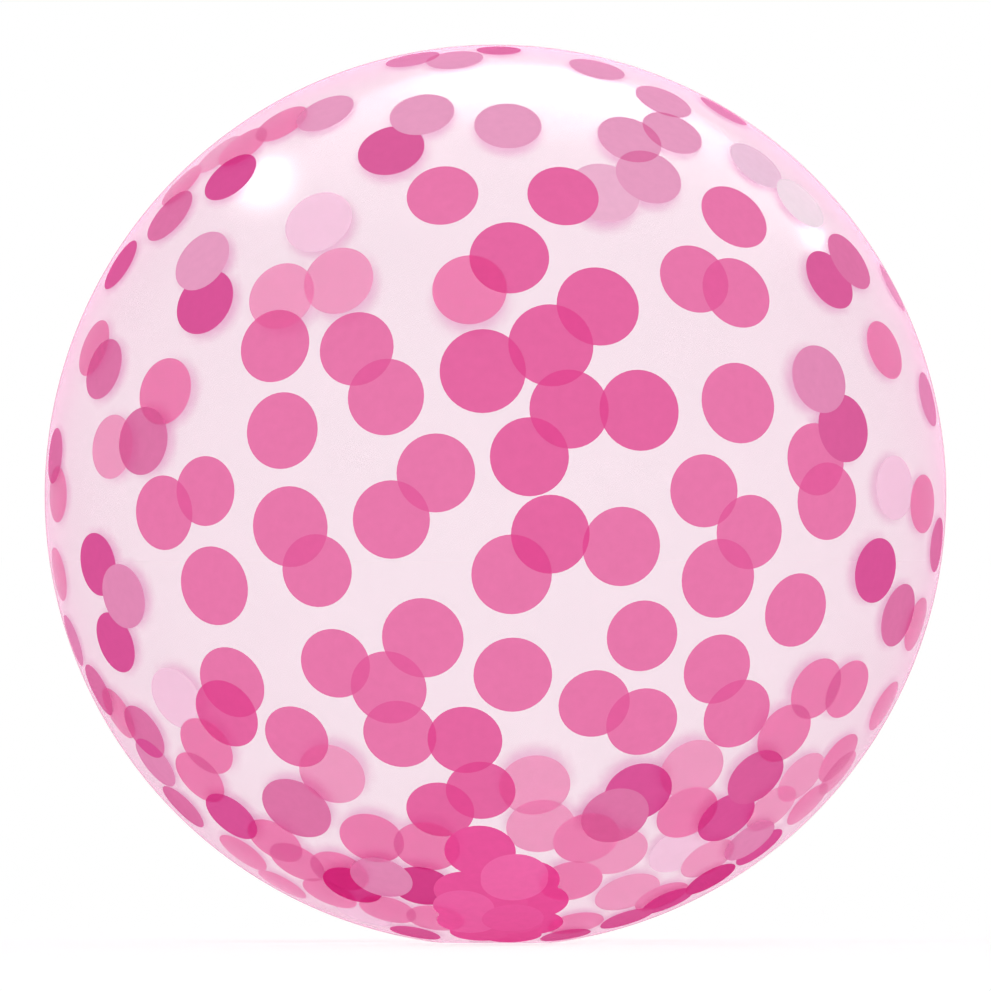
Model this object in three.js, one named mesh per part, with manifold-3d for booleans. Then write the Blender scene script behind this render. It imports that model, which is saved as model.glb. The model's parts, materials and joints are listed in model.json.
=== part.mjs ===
// A clear bubble balloon: two round film panels, welded edge to edge and blown up to a ball.
// The ball is sealed, so it is one solid. It rests on a small flat spot, and its flat filling
// tail, which grows out of the weld at the lowest point, lies back along the floor.
// Millimetres, +Z up. The front panel faces -Y, and the origin is on the floor under the centre.

import * as THREE from "three";
import { mergeVertices } from "three/addons/utils/BufferGeometryUtils.js";
import Module from "manifold-3d";

// Driving dimensions
const BALL_RADIUS = 280;
const WELD_PROUD = 0.6; // how far the weld stands above the film
const WELD_WIDTH = 5; // measured along the film
const FOOT_RADIUS = 30; // the flat spot under the ball
const TAIL_THICKNESS = 1.6; // two plies of film, with the air between them
const TAIL_REACH = 104; // from the ball's axis to the tail's open end
const NECK_WIDTH = 20; // where the tail leaves the ball
const MOUTH_WIDTH = 34; // at the tail's open end
const MOUTH_LENGTH = 34; // the stretch of full width
const MOUTH_CORNER = 4; // rounded corners at the open end

// Fineness of the faceted surfaces
const PANEL_STEPS = 20; // from the middle of a panel to the weld
const ROUND_SEGMENTS = 64; // once round a panel
const CURVE_SEGMENTS = 6; // along each curve of the tail's outline

const FILM_COLOUR = 0xf6dce9;
const FILM_ROUGHNESS = 0.08;
const FILM_OPACITY = 0.35;

// The middle of the ball is this high when the flat spot is on the floor.
const CENTRE_HEIGHT = Math.sqrt(BALL_RADIUS ** 2 - FOOT_RADIUS ** 2);

// A point of the profile, at an angle from the weld towards the middle of the back panel.
function profilePoint(angle, radius) {
  return new THREE.Vector2(radius * Math.cos(angle), radius * Math.sin(angle));
}

// Half of the section through both panels, from the front panel's middle over the weld
// to the back panel's middle.
function ballProfile() {
  const weldFoot = WELD_WIDTH / 2 / BALL_RADIUS;
  const weldCrest = weldFoot / 2;
  const crestRadius = BALL_RADIUS + WELD_PROUD;
  const backHalf = [profilePoint(weldCrest, crestRadius)];
  for (let step = 0; step < PANEL_STEPS; step += 1) {
    const angle = THREE.MathUtils.lerp(weldFoot, Math.PI / 2, step / PANEL_STEPS);
    backHalf.push(profilePoint(angle, BALL_RADIUS));
  }
  backHalf.push(new THREE.Vector2(0, BALL_RADIUS));
  const frontHalf = backHalf.map((point) => new THREE.Vector2(point.x, -point.y));
  return [...frontHalf.reverse(), ...backHalf];
}

// The whole ball, turned about the Y axis that runs through the middles of both panels.
function ballGeometry() {
  const geometry = new THREE.LatheGeometry(ballProfile(), ROUND_SEGMENTS);
  return geometry.translate(0, 0, CENTRE_HEIGHT);
}

// Everything under the floor, which takes the flat spot off the ball.
function underFloorGeometry() {
  const side = 4 * FOOT_RADIUS;
  return new THREE.BoxGeometry(side, side, side).translate(0, 0, -side / 2);
}

// The tail seen from above: a narrow neck that widens to the mouth it is filled through.
function tailOutline() {
  const neck = NECK_WIDTH / 2;
  const mouth = MOUTH_WIDTH / 2;
  const neckEnd = FOOT_RADIUS;
  const mouthStart = TAIL_REACH - MOUTH_LENGTH;
  const bend = (neckEnd + mouthStart) / 2;
  const outline = new THREE.Shape();
  outline.moveTo(-neck, 0);
  outline.lineTo(neck, 0);
  outline.lineTo(neck, neckEnd);
  outline.bezierCurveTo(neck, bend, mouth, bend, mouth, mouthStart);
  outline.lineTo(mouth, TAIL_REACH - MOUTH_CORNER);
  outline.quadraticCurveTo(mouth, TAIL_REACH, mouth - MOUTH_CORNER, TAIL_REACH);
  outline.lineTo(MOUTH_CORNER - mouth, TAIL_REACH);
  outline.quadraticCurveTo(-mouth, TAIL_REACH, -mouth, TAIL_REACH - MOUTH_CORNER);
  outline.lineTo(-mouth, mouthStart);
  outline.bezierCurveTo(-mouth, bend, -neck, bend, -neck, neckEnd);
  outline.closePath();
  return outline;
}

// The tail, flat on the floor, with its neck end inside the ball's foot.
function tailGeometry() {
  return new THREE.ExtrudeGeometry(tailOutline(), {
    depth: TAIL_THICKNESS,
    bevelEnabled: false,
    curveSegments: CURVE_SEGMENTS,
  });
}

const wasm = await Module();
wasm.setup();

function toSolid(geometry) {
  geometry.deleteAttribute("normal");
  geometry.deleteAttribute("uv");
  const merged = mergeVertices(geometry);
  return new wasm.Manifold(
    new wasm.Mesh({
      numProp: 3,
      vertProperties: new Float32Array(merged.attributes.position.array),
      triVerts: new Uint32Array(merged.index.array),
    }),
  );
}

function toGeometry(solid) {
  const mesh = solid.getMesh();
  const geometry = new THREE.BufferGeometry();
  geometry.setAttribute("position", new THREE.BufferAttribute(mesh.vertProperties, 3));
  geometry.setIndex(new THREE.BufferAttribute(mesh.triVerts, 1));
  geometry.computeVertexNormals();
  return geometry;
}

function balloonMesh() {
  const restingBall = toSolid(ballGeometry()).subtract(toSolid(underFloorGeometry()));
  const solid = restingBall.add(toSolid(tailGeometry()));
  const film = new THREE.MeshStandardMaterial({
    color: FILM_COLOUR,
    roughness: FILM_ROUGHNESS,
    metalness: 0,
    transparent: true,
    opacity: FILM_OPACITY,
  });
  const mesh = new THREE.Mesh(toGeometry(solid), film);
  mesh.name = "balloon";
  return mesh;
}

const part = new THREE.Group();
part.add(balloonMesh());

export default part;
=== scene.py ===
"""A clear bubble balloon: two round panels of film, printed with pink dots, welded and blown up."""

import json
import math

import bmesh
import bpy
import numpy as np
from mathutils import Matrix, Vector, geometry, noise

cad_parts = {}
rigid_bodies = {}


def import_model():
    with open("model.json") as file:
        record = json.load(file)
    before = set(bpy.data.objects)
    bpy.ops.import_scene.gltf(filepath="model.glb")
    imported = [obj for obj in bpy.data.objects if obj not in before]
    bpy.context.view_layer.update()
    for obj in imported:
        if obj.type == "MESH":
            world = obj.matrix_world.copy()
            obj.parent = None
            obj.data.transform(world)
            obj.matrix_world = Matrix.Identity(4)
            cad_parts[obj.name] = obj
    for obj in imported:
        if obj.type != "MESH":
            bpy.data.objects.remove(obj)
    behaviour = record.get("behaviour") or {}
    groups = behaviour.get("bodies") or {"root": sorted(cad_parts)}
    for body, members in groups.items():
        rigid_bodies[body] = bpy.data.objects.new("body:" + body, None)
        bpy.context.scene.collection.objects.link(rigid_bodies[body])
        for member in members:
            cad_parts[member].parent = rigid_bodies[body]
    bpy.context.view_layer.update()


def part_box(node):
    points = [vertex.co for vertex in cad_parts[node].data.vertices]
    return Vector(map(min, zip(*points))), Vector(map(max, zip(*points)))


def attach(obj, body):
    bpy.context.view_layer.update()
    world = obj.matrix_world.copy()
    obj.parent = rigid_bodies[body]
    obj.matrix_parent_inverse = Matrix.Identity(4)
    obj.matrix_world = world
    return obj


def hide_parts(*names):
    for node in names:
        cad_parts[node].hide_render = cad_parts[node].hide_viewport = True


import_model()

# ---------------------------------------------------------------------------------------------
# Sizes, in metres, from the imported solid
# ---------------------------------------------------------------------------------------------

MM = 0.001

BALL_LOW, BALL_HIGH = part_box("balloon")
BALL_RADIUS = (BALL_HIGH.y - BALL_LOW.y) / 2
CREST_RADIUS = (BALL_HIGH.x - BALL_LOW.x) / 2  # of the ball over its weld
CENTRE_HEIGHT = BALL_HIGH.z - CREST_RADIUS
PANEL_RADIUS = BALL_RADIUS * math.pi / 2  # of a flat panel, before it is blown up
FOOT_RADIUS = math.sqrt(BALL_RADIUS ** 2 - CENTRE_HEIGHT ** 2)

WELD_HALF_WIDTH = 2.5 * MM
FOOT_SOFTNESS = 0.4 * MM  # how softly the film bends into the flat spot

TAIL_REACH = 104 * MM  # from the ball's axis to the tail's mouth
TAIL_THICKNESS = 1.6 * MM
TAIL_WELD = 2 * MM  # the welded strip along each of its edges
TAIL_TUCK = 3 * MM  # from the flat spot's edge to where the tail starts, under the film
NECK_HALF_WIDTH = 10 * MM
MOUTH_HALF_WIDTH = 17 * MM
MOUTH_LENGTH = 34 * MM
MOUTH_CORNER = 4 * MM
PLY = 0.1 * MM  # of the tail's film, with its air
CRINKLE_WIDTH = 5 * MM
CRINKLE_LENGTH = 14 * MM
LOWER_CRINKLE = 0.25  # of the tail's thickness, how far its lower ply lifts
UPPER_SLACK = 0.72  # how full the upper ply lies, and how far its crinkles add to that
UPPER_CRINKLE = 0.28
TAIL_ACROSS = 20  # steps of the mesh
TAIL_ALONG = 60

DOT_SIDES = 40
FILL_SPACING = 5 * MM  # between the points that carry the film's curve
FEWEST_ROUND = 6  # fill points on the smallest ring
EDGE_STEPS = 360  # round the weld
EDGE_RINGS = (0.33, 0.66, 1.5, 2.5)  # in from the panel's edge, in half widths of the weld
EDGE_CLEARANCE = 2.2 * MM  # fill points keep this far from a dot's edge
MERGE_DISTANCE = 0.01 * MM  # joins the two panels along the weld
CUT_TOLERANCE = 1e-6
NEAR_ZERO = 1e-9  # keeps the middle of a panel from dividing by nothing

# ---------------------------------------------------------------------------------------------
# The print: dots on the flat sheets, as (right, up) of a sheet's middle in millimetres, both
# seen from the front. Each key is a diameter. A panel is printed in the order of its lists.
# ---------------------------------------------------------------------------------------------

FRONT_DEEPEST = {
    49: [(-113, -308), (-56, -297), (186, -332)],
}
FRONT_DEEP = {
    49: [(-206, 137), (-209, 251), (284, -56), (-306, -53), (-295, -114), (99, -206),
         (175, -244), (-209, -254), (228, -304), (150, -353)],
}
FRONT_FULL_DEEP = {
    49: [(-75, 248), (-325, 200), (254, 164), (248, 48), (193, -209), (116, -374)],
    46: [(-72, -392), (63, -396)],
}
FRONT_SOFT = {
    50: [(75, 209)],
}
FRONT_FULL = {
    54: [(-8, 78), (35, 95), (66, 122)],
    52: [(91, 54), (9, 155), (-190, -154)],
    50: [(46, 54)],
    49: [(21, 24), (46, 204), (34, -24), (-20, -160)],
    47: [(-38, -216), (-10, -199)],
}
FRONT_ROSE = {
    54: [(173, 202), (160, 61), (-190, -61), (231, -4)],
    52: [(165, 139), (-132, -20), (145, -54), (207, -79), (167, -151),
         (-182, -129), (-231, -12), (-46, -90)],
    50: [(79, -32), (10, -49), (11, -114), (-69, -124), (-138, 42), (-146, 99),
         (134, 146), (221, 25)],
    49: [(-37, 14), (-65, -15), (-89, 94), (-69, 62), (-36, 204), (167, -24), (148, -116),
         (97, -150), (-63, -157)],
    47: [(134, 3), (94, -90), (-104, -109), (-114, -48), (64, -135), (-136, -165), (-195, 3)],
}
FRONT_DUSTY = {
    49: [(84, -225), (-307, 99), (-284, -191), (-347, -170), (-272, -271), (-388, 35), (-252, 39),
         (394, -44)],
    52: [(287, 190), (323, -96), (-269, 231)],
    55: [(-145, -228)],
    40: [(3, 400)],
}
FRONT_FADED = {
    49: [(228, 82), (-277, -75), (-284, -223), (-74, 389), (-384, -132), (382, 85), (209, 352),
         (-87, -291), (209, -284)],
}
FRONT_BLUSH = {
    49: [(-215, 172), (-55, 285), (9, 269), (-35, 373), (138, 324), (136, 279),
         (99, 263), (109, 227), (-136, 305), (369, 193), (87, 366)],
}
FRONT_PALE = {
    50: [(209, 265)],
}
FRONT_FAINT = {
    50: [(246, 236)],
}
HEAP_DEEP = {
    50: [(23, -288), (32, -316), (31, -354), (15, -380)],
}
HEAP_MID = {
    51: [(-11, -254)],
    50: [(-22, -300), (0, -318), (-14, -372), (14, -348)],
}
HEAP_LIGHT = {
    48: [(-25, -322), (-24, -348)],
}
HEAP_OVER = {
    50: [(14, -342)],
}
HEAP_TOP = {
    50: [(14, -281), (14, -286)],
}
BACK_PALE = {
    50: [(-125, 193), (-239, -152), (310, 6), (-115, -368), (142, -276)],
}
BACK_MID = {
    49: [(-106, 145), (-147, 137), (-291, 37), (140, -195), (32, -235), (223, -253), (-243, 299),
         (90, -266), (27, -199), (246, -227), (173, -296), (-115, -196)],
    55: [(107, -322)],
}
BACK_ROSE = {
    49: [(-17, 135), (-238, 75), (313, 117), (-335, 123), (-218, -189),
         (-324, -187), (-234, -223), (356, -7), (239, -144), (274, -151), (215, -177),
         (142, -235), (66, -249), (58, -296), (-91, -252), (-50, -256), (-123, -296),
         (-175, -274), (-160, -296), (-140, -336), (-90, -346), (-50, -352),
         (290, -222), (345, -187), (369, -113), (302, -245), (273, -270),
         (142, -343), (69, -368), (-192, -350), (-219, -310), (-394, -71), (-381, 1),
         (-278, 275), (-213, 294), (-179, 311)],
}

# ---------------------------------------------------------------------------------------------
# Film and inks: a colour, and the share of the light that goes straight through
# ---------------------------------------------------------------------------------------------

INK = 0.3  # an ink lets less of the light through than the film does
SOLID = 0.15  # and the crowded inks at the foot let the least
COATS = {
    "film": ((0.925, 0.845, 0.885), 0.9),
    "weld": ((0.90, 0.60, 0.70), 0.7),
    "faint": ((0.84, 0.72, 0.79), 0.7),
    "pale": ((0.760, 0.482, 0.644), 0.6),
    "soft": ((0.794, 0.383, 0.569), INK),
    "blush": ((0.750, 0.276, 0.477), INK),
    "mid": ((0.680, 0.192, 0.385), 0.45),
    "faded": ((0.714, 0.197, 0.407), INK),
    "dusty": ((0.673, 0.124, 0.322), INK),
    "rose": ((0.766, 0.130, 0.344), INK),
    "full_rose": ((0.741, 0.086, 0.296), INK),
    "back_rose": ((0.640, 0.100, 0.303), INK),
    "twice_rose": ((0.732, 0.070, 0.276), INK),
    "twice_full": ((0.714, 0.037, 0.227), INK),
    "twice_back": ((0.540, 0.020, 0.197), INK),
    "full_deep": ((0.650, 0.066, 0.262), INK),
    "deep": ((0.640, 0.048, 0.246), INK),
    "deepest": ((0.595, 0.022, 0.185), INK),
    "heap_deep": ((0.78, 0.062, 0.290), SOLID),
    "heap_mid": ((0.78, 0.070, 0.300), SOLID),
    "heap_light": ((0.82, 0.105, 0.355), SOLID),
    "heap_over": ((0.80, 0.080, 0.320), SOLID),
    "heap_top": ((0.83, 0.115, 0.365), SOLID),
}
COAT_NAMES = list(COATS)
STRENGTH = {"film": 0, "faint": 1, "pale": 1, "soft": 1, "blush": 2, "mid": 2, "faded": 3,
            "dusty": 3, "rose": 3, "back_rose": 3, "full_rose": 4, "twice_rose": 5, "twice_full": 5,
            "twice_back": 5, "full_deep": 5, "deep": 5, "deepest": 6}
TWICE = {"blush": "dusty", "rose": "twice_rose", "full_rose": "twice_full", "back_rose": "twice_back",
         "dusty": "deep", "faded": "dusty", "mid": "back_rose"}


def overprint(under, over):
    """The coat where one ink lies over another."""
    if over.startswith("heap") or ("deep" in under and over in ("blush", "faded", "dusty")):
        return over  # these hide what is under them
    weaker, stronger = sorted((under, over), key=STRENGTH.get)
    if STRENGTH[weaker] < 2 or STRENGTH[stronger] > 5 or stronger == "back_rose" and weaker == "mid":
        return stronger
    return TWICE.get(stronger, stronger)


# A soft lilac shadow is painted on the film beside most dots, a little towards the panel's middle.
UNSHADOWED_INKS = ("rose", "full_rose")  # the others get a painted shadow on the film beside them
PAINTED_SHADOW_TINT = (0.74, 0.32, 0.54)
PAINTED_SHADOW_SHIFT = 7 * MM  # the painted shadow lies this far towards the panel's middle
PAINTED_SHADOW_WIDTH = 12 * MM  # of the painted shadow's soft edge, from the full tint to none
FILM_SPREAD = 0.03  # how far a colour strays either way
INK_SPREAD = 0.06
COLOUR_DETAIL = 3
RIPPLE_DETAIL = 2
RIPPLE_STRENGTH = 0.25
RIPPLE_HEIGHT = 1 * MM
CLOUD_SIZE = 90 * MM  # of the film's slow changes of tint
MOTTLE_SIZE = 6 * MM  # of an ink's uneven lay
RIPPLE_SIZE = 45 * MM  # of the film's waves, which only its gloss shows
GLOSS = {  # of the bare film and the weld
    "Coat Weight": 1.0,
    "Coat IOR": 1.05,
    "Coat Roughness": 0.2,
    "Coat Tint": (0.985, 0.955, 0.97, 1),  # deepens the film where it is seen at a slant
    "Sheen Weight": 1.0,
    "Sheen Roughness": 0.25,
    "Sheen Tint": (0.45, 0.21, 0.35, 1),
}


def cloudy(nodes, links, size, detail):
    """A noise on the piece's own coordinates, in lumps of the given size."""
    place = nodes.new("ShaderNodeTexCoord")
    lumps = nodes.new("ShaderNodeTexNoise")
    lumps.inputs["Scale"].default_value = 1 / size
    lumps.inputs["Detail"].default_value = detail
    links.new(place.outputs["Object"], lumps.inputs["Vector"])
    return lumps.outputs["Fac"]


def with_painted_shadow(nodes, links, colour):
    """The film's colour, with a painted shadow where the mesh marks one beside a dot."""
    painted_shadow = nodes.new("ShaderNodeAttribute")
    painted_shadow.attribute_name = "painted_shadow"
    tinted = nodes.new("ShaderNodeMix")
    tinted.data_type = "RGBA"
    tinted.inputs["B"].default_value = (*PAINTED_SHADOW_TINT, 1)
    links.new(painted_shadow.outputs["Fac"], tinted.inputs["Factor"])
    links.new(colour, tinted.inputs["A"])
    return tinted.outputs["Result"]


def film_material(name, tint, clear):
    """See-through film or ink. Only the bare film and the weld are glossy."""
    bare = name in ("film", "weld")
    material = bpy.data.materials.new(name)
    material.use_nodes = True
    nodes, links = material.node_tree.nodes, material.node_tree.links
    shader = nodes["Principled BSDF"].inputs
    shader["Transmission Weight"].default_value = clear
    shader["IOR"].default_value = 1.0  # so thin a film doesn't bend the light
    shader["Roughness"].default_value = 0.0
    shade = nodes.new("ShaderNodeMix")
    shade.data_type = "RGBA"
    spread = FILM_SPREAD if bare else INK_SPREAD
    shade.inputs["A"].default_value = (*(part * (1 - spread) for part in tint), 1)
    shade.inputs["B"].default_value = (*(part * (1 + spread) for part in tint), 1)
    lump_size = CLOUD_SIZE if bare else MOTTLE_SIZE
    links.new(cloudy(nodes, links, lump_size, COLOUR_DETAIL), shade.inputs["Factor"])
    colour = shade.outputs["Result"]
    # the film carries the painted shadow beside the dots
    if name == "film":
        colour = with_painted_shadow(nodes, links, colour)
    links.new(colour, shader["Base Color"])
    if bare:
        for socket, value in GLOSS.items():
            shader[socket].default_value = value
        ripple = nodes.new("ShaderNodeBump")
        ripple.inputs["Strength"].default_value = RIPPLE_STRENGTH
        ripple.inputs["Distance"].default_value = RIPPLE_HEIGHT
        links.new(cloudy(nodes, links, RIPPLE_SIZE, RIPPLE_DETAIL), ripple.inputs["Height"])
        links.new(ripple.outputs["Normal"], shader["Coat Normal"])
    return material


MATERIALS = {name: film_material(name, tint, clear) for name, (tint, clear) in COATS.items()}

# ---------------------------------------------------------------------------------------------
# A flat panel, cut along the edges of its dots
# ---------------------------------------------------------------------------------------------


def dots_of(**lists):
    """(place, radius, ink) of every dot, in the order of printing."""
    return [(Vector(place) * MM, diameter / 2 * MM, ink)
            for ink, sizes in lists.items() for diameter, places in sizes.items() for place in places]


def ring(centre, radius, sides):
    return [Vector((centre[0] + radius * math.cos(turn), centre[1] + radius * math.sin(turn)))
            for turn in (2 * math.pi * side / sides for side in range(sides))]


def fill_points(dots):
    """Points on rings about the panel's middle, kept off the dots' edges."""
    points = [Vector((0, 0))]
    rings = round(PANEL_RADIUS / FILL_SPACING)
    for number in range(1, rings):
        radius = PANEL_RADIUS * number / rings
        points += ring((0, 0), radius, max(FEWEST_ROUND, round(
            2 * math.pi * BALL_RADIUS / FILL_SPACING * math.sin(radius / BALL_RADIUS))))
    for inset in EDGE_RINGS:
        points += ring((0, 0), PANEL_RADIUS - inset * WELD_HALF_WIDTH, EDGE_STEPS)
    return [p for p in points if all(abs((p - place).length - radius) > EDGE_CLEARANCE
                                     for place, radius, _ in dots)]


def painted_shadow_at(points, dots):
    """How much painted shadow lies on the film beside each dot but the crisp rose ones and the heap: a
    blurred copy of each, moved inwards.
    """
    places = np.array([tuple(point[:2]) for point in points])
    painted_shadow = np.zeros(len(places))
    for place, radius, ink in dots:
        if ink in UNSHADOWED_INKS or ink.startswith("heap"):
            continue
        copy = place * (1 - PAINTED_SHADOW_SHIFT / place.length)
        inside = radius - np.hypot(places[:, 0] - copy.x, places[:, 1] - copy.y)
        share = np.clip(0.5 + inside / PAINTED_SHADOW_WIDTH, 0, 1)
        painted_shadow = np.maximum(painted_shadow, share * share * (3 - 2 * share))
    return painted_shadow


def coat_of(cover, dots):
    """The coat of a face that lies in the given loops: 0 is the panel, 1 the weld's inner edge."""
    if 1 not in cover:
        return "weld"
    shown = "film"
    for loop in sorted(cover):
        if loop > 1:
            shown = overprint(shown, dots[loop - 2][2])
    return shown


def flat_panel(name, dots):
    """The panel as a mesh in the XZ plane, with the number of each face's coat."""
    points = []
    loops = []
    for centre, radius, sides in [((0, 0), PANEL_RADIUS, EDGE_STEPS),
                                  ((0, 0), PANEL_RADIUS - WELD_HALF_WIDTH, EDGE_STEPS),
                                  *((place, radius, DOT_SIDES) for place, radius, _ in dots)]:
        loops.append(list(range(len(points), len(points) + sides)))
        points += ring(centre, radius, sides)
    points += fill_points(dots)
    places, _, faces, _, _, covers = geometry.delaunay_2d_cdt(points, [], loops, 1, CUT_TOLERANCE, True)
    kept = [(face, cover) for face, cover in zip(faces, covers) if 0 in cover]
    mesh = bpy.data.meshes.new(name)
    mesh.from_pydata([(p.x, 0, p.y) for p in places], [], [face for face, _ in kept])
    for material in MATERIALS.values():
        mesh.materials.append(material)
    # the painted shadow beside the dots, kept on the mesh's points
    painted_shadow = mesh.attributes.new("painted_shadow", "FLOAT", "POINT")
    painted_shadow.data.foreach_set("value", painted_shadow_at(places, dots))
    coat = mesh.attributes.new("coat", "INT", "FACE")
    coat.data.foreach_set("value", [COAT_NAMES.index(coat_of(cover, dots)) for _, cover in kept])
    return mesh


# ---------------------------------------------------------------------------------------------
# Blowing a panel up: the node tree that lays a flat sheet on its half of the ball
# ---------------------------------------------------------------------------------------------


class Tree:
    """A geometry-node tree under construction."""

    def __init__(self, name, inputs):
        self.group = bpy.data.node_groups.new(name, "GeometryNodeTree")
        self.group.interface.new_socket("Geometry", in_out="INPUT", socket_type="NodeSocketGeometry")
        for given in inputs:
            self.group.interface.new_socket(given, in_out="INPUT", socket_type="NodeSocketFloat")
        self.group.interface.new_socket("Geometry", in_out="OUTPUT", socket_type="NodeSocketGeometry")
        self.given = self.group.nodes.new("NodeGroupInput").outputs

    def node(self, kind, settings=(), **values):
        """Adds a node and gives its first output. Values go to sockets by name, _ for a space."""
        made = self.group.nodes.new(kind)
        for name, value in dict(settings).items():
            setattr(made, name, value)
        for name, value in values.items():
            self.plug(made.inputs[name.replace("_", " ")], value)
        return made.outputs[0]

    def plug(self, socket, value):
        if isinstance(value, bpy.types.NodeSocket):
            self.group.links.new(value, socket)
        else:
            socket.default_value = value

    def math(self, operation, *values):
        made = self.group.nodes.new("ShaderNodeMath")
        made.operation = operation
        for socket, value in zip(made.inputs, values):
            self.plug(socket, value)
        return made.outputs[0]

    def painted(self, mesh, coats):
        """Gives each face the material of its coat."""
        coat = self.node("GeometryNodeInputNamedAttribute", settings={"data_type": "INT"},
                         Name="coat")
        for number, name in enumerate(coats):
            chosen = self.group.nodes.new("FunctionNodeCompare")
            chosen.data_type = "INT"
            chosen.operation = "EQUAL"
            left, right = [socket for socket in chosen.inputs if socket.enabled]
            self.plug(left, coat)
            self.plug(right, number)
            mesh = self.node("GeometryNodeSetMaterial", Geometry=mesh, Selection=chosen.outputs[0],
                             Material=MATERIALS[name])
        return mesh

    def finish(self, mesh):
        self.group.links.new(mesh, self.group.nodes.new("NodeGroupOutput").inputs[0])
        return self.group


def blow_up_tree():
    """Each point keeps its bearing; its distance from the panel's middle becomes an arc."""
    tree = Tree("blow_up_panel", ["Ball Radius", "Centre Height", "Side", "Weld Proud",
                                  "Weld Half Width", "Foot Softness"])
    given = tree.given
    place = tree.group.nodes.new("ShaderNodeSeparateXYZ")
    tree.plug(place.inputs[0], tree.node("GeometryNodeInputPosition"))
    across, up = place.outputs["X"], place.outputs["Z"]
    squares = tree.math("ADD", tree.math("MULTIPLY", across, across), tree.math("MULTIPLY", up, up))
    arc = tree.math("MAXIMUM", tree.math("SQRT", squares), NEAR_ZERO)
    angle = tree.math("DIVIDE", arc, given["Ball Radius"])
    to_weld = tree.math("SUBTRACT", tree.math("MULTIPLY", given["Ball Radius"], math.pi / 2), arc)
    bead = tree.node("ShaderNodeMapRange", settings={"interpolation_type": "SMOOTHSTEP"},
                     Value=to_weld, From_Min=given["Weld Half Width"], From_Max=0.0,
                     To_Min=0.0, To_Max=given["Weld Proud"])
    radius = tree.math("ADD", given["Ball Radius"], bead)
    reach = tree.math("DIVIDE", tree.math("MULTIPLY", radius, tree.math("SINE", angle)), arc)
    depth = tree.math("MULTIPLY", radius, tree.math("COSINE", angle))
    height = tree.math("MULTIPLY_ADD", up, reach, given["Centre Height"])
    blown = tree.node("ShaderNodeCombineXYZ", X=tree.math("MULTIPLY", across, reach),
                      Y=tree.math("MULTIPLY", depth, given["Side"]),
                      Z=tree.math("SMOOTH_MAX", height, 0.0, given["Foot Softness"]))
    moved = tree.node("GeometryNodeSetPosition", Geometry=given["Geometry"], Position=blown)
    return tree.finish(tree.painted(tree.node("GeometryNodeRealizeInstances", Geometry=moved), COATS))


BLOW_UP = blow_up_tree()


def shaped(name, mesh, tree, **inputs):
    """The mesh after a tree, as a plain mesh. Inputs go by name, _ for a space."""
    carrier = bpy.data.objects.new(name, mesh)
    bpy.context.scene.collection.objects.link(carrier)
    modifier = carrier.modifiers.new(name, "NODES")
    modifier.node_group = tree
    identifiers = {item.name: item.identifier for item in tree.interface.items_tree
                   if item.in_out == "INPUT"}
    for given, value in inputs.items():
        modifier[identifiers[given.replace("_", " ")]] = value
    evaluated = carrier.evaluated_get(bpy.context.evaluated_depsgraph_get())
    result = bpy.data.meshes.new_from_object(evaluated)
    bpy.data.objects.remove(carrier)
    return result


def blown_panel(name, dots, side):
    """A printed panel on its half of the ball. Its side is -1 in front and 1 behind."""
    return shaped(name, flat_panel(name, dots), BLOW_UP, Ball_Radius=BALL_RADIUS,
                  Centre_Height=CENTRE_HEIGHT, Side=side, Weld_Proud=CREST_RADIUS - BALL_RADIUS,
                  Weld_Half_Width=WELD_HALF_WIDTH, Foot_Softness=FOOT_SOFTNESS)


# ---------------------------------------------------------------------------------------------
# The ball
# ---------------------------------------------------------------------------------------------

def front_dots():
    return dots_of(deepest=FRONT_DEEPEST, deep=FRONT_DEEP, full_deep=FRONT_FULL_DEEP,
                   soft=FRONT_SOFT, rose=FRONT_ROSE, full_rose=FRONT_FULL, pale=FRONT_PALE,
                   faint=FRONT_FAINT, blush=FRONT_BLUSH, faded=FRONT_FADED, dusty=FRONT_DUSTY,
                   heap_deep=HEAP_DEEP, heap_mid=HEAP_MID, heap_light=HEAP_LIGHT,
                   heap_over=HEAP_OVER, heap_top=HEAP_TOP)


def back_dots():
    return dots_of(pale=BACK_PALE, mid=BACK_MID, back_rose=BACK_ROSE)


def tail_half_width(along):
    """Of the tail, at a distance from the ball's axis."""
    opened = (along - FOOT_RADIUS) / (TAIL_REACH - MOUTH_LENGTH - FOOT_RADIUS)
    opened = min(max(opened, 0.0), 1.0)
    width = NECK_HALF_WIDTH + (MOUTH_HALF_WIDTH - NECK_HALF_WIDTH) * opened ** 2 * (3 - 2 * opened)
    corner = max(along - TAIL_REACH + MOUTH_CORNER, 0.0)
    return width - MOUTH_CORNER + math.sqrt(max(MOUTH_CORNER ** 2 - corner ** 2, 0.0))


def tail_section(along):
    """The upper and lower points across the tail: a weld at each edge and slack film between.

    Where the ball hangs over it, the tail stays half a ply under the film and doesn't touch it.
    """
    half = tail_half_width(along)
    inner = half - TAIL_WELD
    across = [-half, *(inner * (2 * step / TAIL_ACROSS - 1) for step in range(TAIL_ACROSS + 1)), half]
    points = []
    for x in across:
        slack = max(1 - (x / inner) ** 2, 0.0) ** 0.5
        crinkle = noise.noise(Vector((x / CRINKLE_WIDTH, along / CRINKLE_LENGTH, 0.0)))
        low = PLY + LOWER_CRINKLE * slack * TAIL_THICKNESS * max(crinkle, 0.0)
        fullness = UPPER_SLACK + UPPER_CRINKLE * crinkle
        high = 2 * PLY + slack * (TAIL_THICKNESS - 2 * PLY) * fullness
        wall = CENTRE_HEIGHT - math.sqrt(BALL_RADIUS ** 2 - along ** 2 - x ** 2)
        high = max(min(high, wall - PLY / 2), 1.5 * PLY)
        points.append((Vector((x, along, high)), Vector((x, along, min(low, high - PLY / 2)))))
    return points


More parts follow.
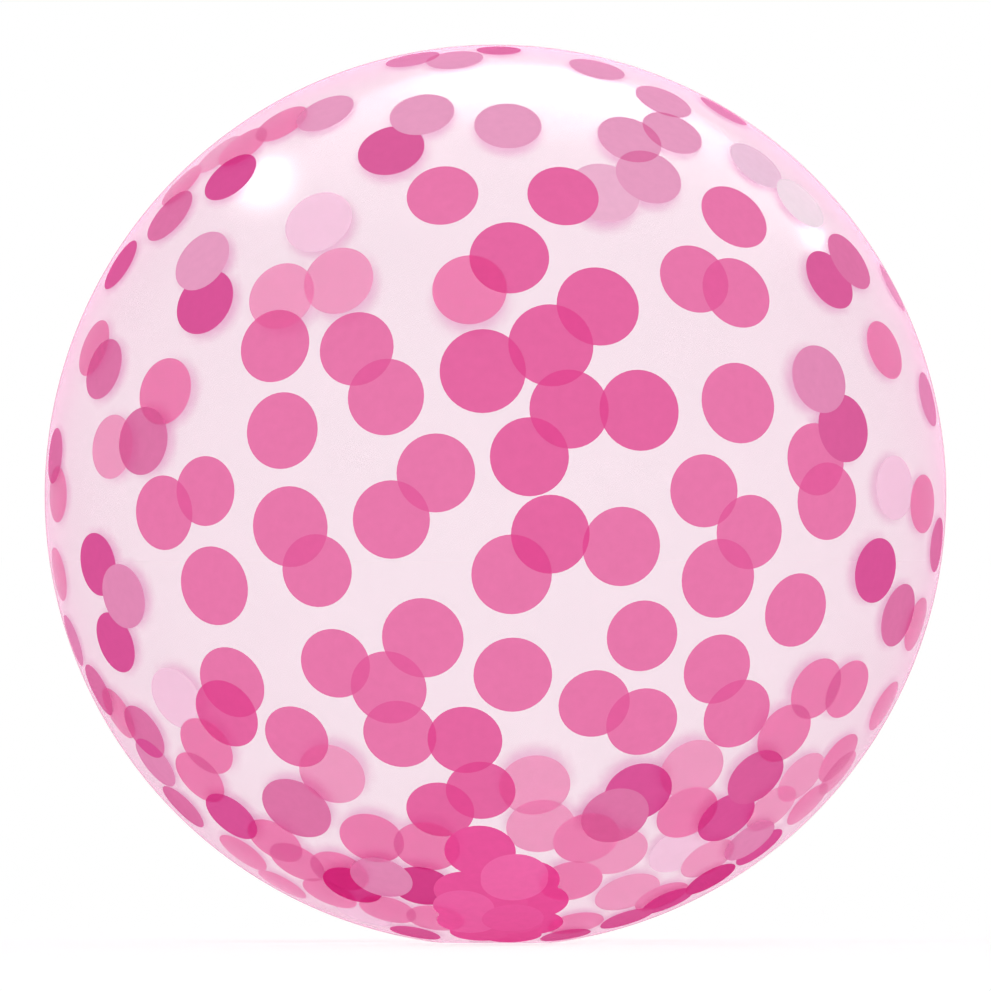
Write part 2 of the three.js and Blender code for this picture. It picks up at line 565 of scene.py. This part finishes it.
def add_tail(shell):
    """The tail's closed shell, from just behind the foot to its mouth."""
    start = FOOT_RADIUS + TAIL_TUCK
    rows = []
    for step in range(TAIL_ALONG + 1):
        points = tail_section(start + (TAIL_REACH - start) * math.sin(math.pi / 2 * step / TAIL_ALONG))
        rows.append([(shell.verts.new(high), shell.verts.new(low)) for high, low in points])
    last = len(rows[0]) - 1
    for near, far in zip(rows, rows[1:]):
        for column in range(last):
            coat = COAT_NAMES.index("weld" if column in (0, last - 1) else "film")
            for ply in (0, 1):
                face = shell.faces.new((near[column][ply], near[column + 1][ply],
                                        far[column + 1][ply], far[column][ply]))
                face.material_index = coat
        for column in (0, last):
            face = shell.faces.new((near[column][0], near[column][1], far[column][1], far[column][0]))
            face.material_index = COAT_NAMES.index("weld")
    for row in (rows[0], rows[-1]):
        for left, right in zip(row, row[1:]):
            shell.faces.new((left[0], right[0], right[1], left[1]))


def balloon_film():
    """Both panels, welded along their edges, and the tail, which is a shell of its own."""
    shell = bmesh.new()
    for name, dots, side in (("front_panel", front_dots(), -1.0), ("back_panel", back_dots(), 1.0)):
        shell.from_mesh(blown_panel(name, dots, side))
    bmesh.ops.remove_doubles(shell, verts=shell.verts, dist=MERGE_DISTANCE)
    add_tail(shell)
    bmesh.ops.recalc_face_normals(shell, faces=shell.faces)
    mesh = bpy.data.meshes.new("balloon_film")
    shell.to_mesh(mesh)
    shell.free()
    for name in COATS:
        mesh.materials.append(MATERIALS[name])
    mesh.shade_smooth()
    film = bpy.data.objects.new("balloon_film", mesh)
    bpy.context.scene.collection.objects.link(film)
    return film


film = balloon_film()
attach(film, "root")
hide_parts("balloon")

# ---------------------------------------------------------------------------------------------
# Stage: a glowing white floor, soft light all round and the camera
# ---------------------------------------------------------------------------------------------

LENS_MM = 1500
SENSOR_MM = 36
BALL_SHARE = 0.908  # of the picture's width
FLOOR_HALF = 150
FLOOR_HEIGHT = -0.1 * MM  # just clear of the film that rests on it
FLOOR_GLOW = 0.75  # it is a light table, so that it stays white close round the ball
WORLD_STRENGTH = 1.0
SUN_STRENGTH = 0.1
HIGHLIGHT_DISTANCE = 2.1
CLIP_END = 200  # past the far edge of the floor
LAYERS_SEEN_THROUGH = 24


def make_floor():
    mesh = bpy.data.meshes.new("floor")
    corners = [(-FLOOR_HALF, -FLOOR_HALF, FLOOR_HEIGHT), (FLOOR_HALF, -FLOOR_HALF, FLOOR_HEIGHT),
               (FLOOR_HALF, FLOOR_HALF, FLOOR_HEIGHT), (-FLOOR_HALF, FLOOR_HALF, FLOOR_HEIGHT)]
    mesh.from_pydata(corners, [], [(0, 1, 2, 3)])
    material = bpy.data.materials.new("pale_floor")
    material.use_nodes = True
    shader = material.node_tree.nodes["Principled BSDF"]
    bounced = (1 - FLOOR_GLOW) / (1 + SUN_STRENGTH / math.pi)
    shader.inputs["Base Color"].default_value = (bounced, bounced, bounced, 1)
    shader.inputs["Roughness"].default_value = 1.0
    shader.inputs["Specular IOR Level"].default_value = 0.0
    shader.inputs["Emission Color"].default_value = (1, 1, 1, 1)
    shader.inputs["Emission Strength"].default_value = FLOOR_GLOW
    mesh.materials.append(material)
    floor = bpy.data.objects.new("floor", mesh)
    bpy.context.scene.collection.objects.link(floor)


def make_world():
    world = bpy.data.worlds.new("soft_white")
    world.use_nodes = True
    world.node_tree.nodes["Background"].inputs["Color"].default_value = (1, 1, 1, 1)
    world.node_tree.nodes["Background"].inputs["Strength"].default_value = WORLD_STRENGTH
    bpy.context.scene.world = world


def aim(thing, place, target):
    thing.location = place
    thing.rotation_euler = (Vector(target) - Vector(place)).to_track_quat("-Z", "Y").to_euler()


def make_softbox(name, place, size, watts, lights_surfaces=True):
    """A round lamp aimed at the ball. Where it lights no surfaces, it shows only in their gloss."""
    lamp = bpy.data.lights.new(name, "AREA")
    lamp.shape = "DISK"
    lamp.size = size
    lamp.energy = watts
    box = bpy.data.objects.new(name, lamp)
    bpy.context.scene.collection.objects.link(box)
    box.visible_camera = False
    box.visible_diffuse = lights_surfaces
    box.visible_transmission = lights_surfaces
    aim(box, place, (0, 0, CENTRE_HEIGHT))


def make_highlight(name, across, up, size, watts):
    """A lamp whose reflection shows at a point of the ball, given in radii from its centre.
    Its size is along and across the plane of that reflection."""
    depth = math.sqrt(1 - across ** 2 - up ** 2)
    away = Vector((2 * depth * across, 1 - 2 * depth ** 2, 2 * depth * up))
    along = (Vector((0, 1, 0)) - away * away.y).normalized()
    make_softbox(name, away * HIGHLIGHT_DISTANCE + Vector((0, 0, CENTRE_HEIGHT)), 1, watts, False)
    box = bpy.data.objects[name]
    box.data.shape = "ELLIPSE"
    box.data.size, box.data.size_y = size[1], size[0]
    box.rotation_euler = Matrix((along.cross(away), along, away)).transposed().to_euler()


def make_sun():
    """A weak, very soft light from overhead that keeps the floor white."""
    lamp = bpy.data.lights.new("overhead", "SUN")
    lamp.energy = SUN_STRENGTH
    lamp.angle = math.radians(90)
    sun = bpy.data.objects.new("overhead", lamp)
    bpy.context.scene.collection.objects.link(sun)


def make_camera():
    lens = bpy.data.cameras.new("camera")
    lens.lens = LENS_MM
    lens.sensor_width = SENSOR_MM
    lens.clip_end = CLIP_END
    half_view = math.atan(BALL_SHARE * SENSOR_MM / 2 / LENS_MM)
    camera = bpy.data.objects.new("camera", lens)
    bpy.context.scene.collection.objects.link(camera)
    aim(camera, (0, -BALL_RADIUS / math.sin(half_view), CENTRE_HEIGHT), (0, 0, CENTRE_HEIGHT))
    bpy.context.scene.camera = camera


make_floor()
make_world()
make_sun()
make_softbox("front_softbox", (0, -3.2, 0.9), 1.0, 2)
make_softbox("top_glare", (0.3, 0.25, 1.9), 2.8, 425, lights_surfaces=False)
make_softbox("top_glare_core", (0.25, 0.8, 1.9), 1.2, 100, lights_surfaces=False)
make_highlight("left_highlight", -0.486, 0.665, (0.84, 0.27), 90)
make_highlight("right_highlight", 0.68, 0.56, (0.5, 0.12), 14)
make_camera()
bpy.context.scene.view_settings.view_transform = "Standard"
bpy.context.scene.cycles.transparent_max_bounces = LAYERS_SEEN_THROUGH
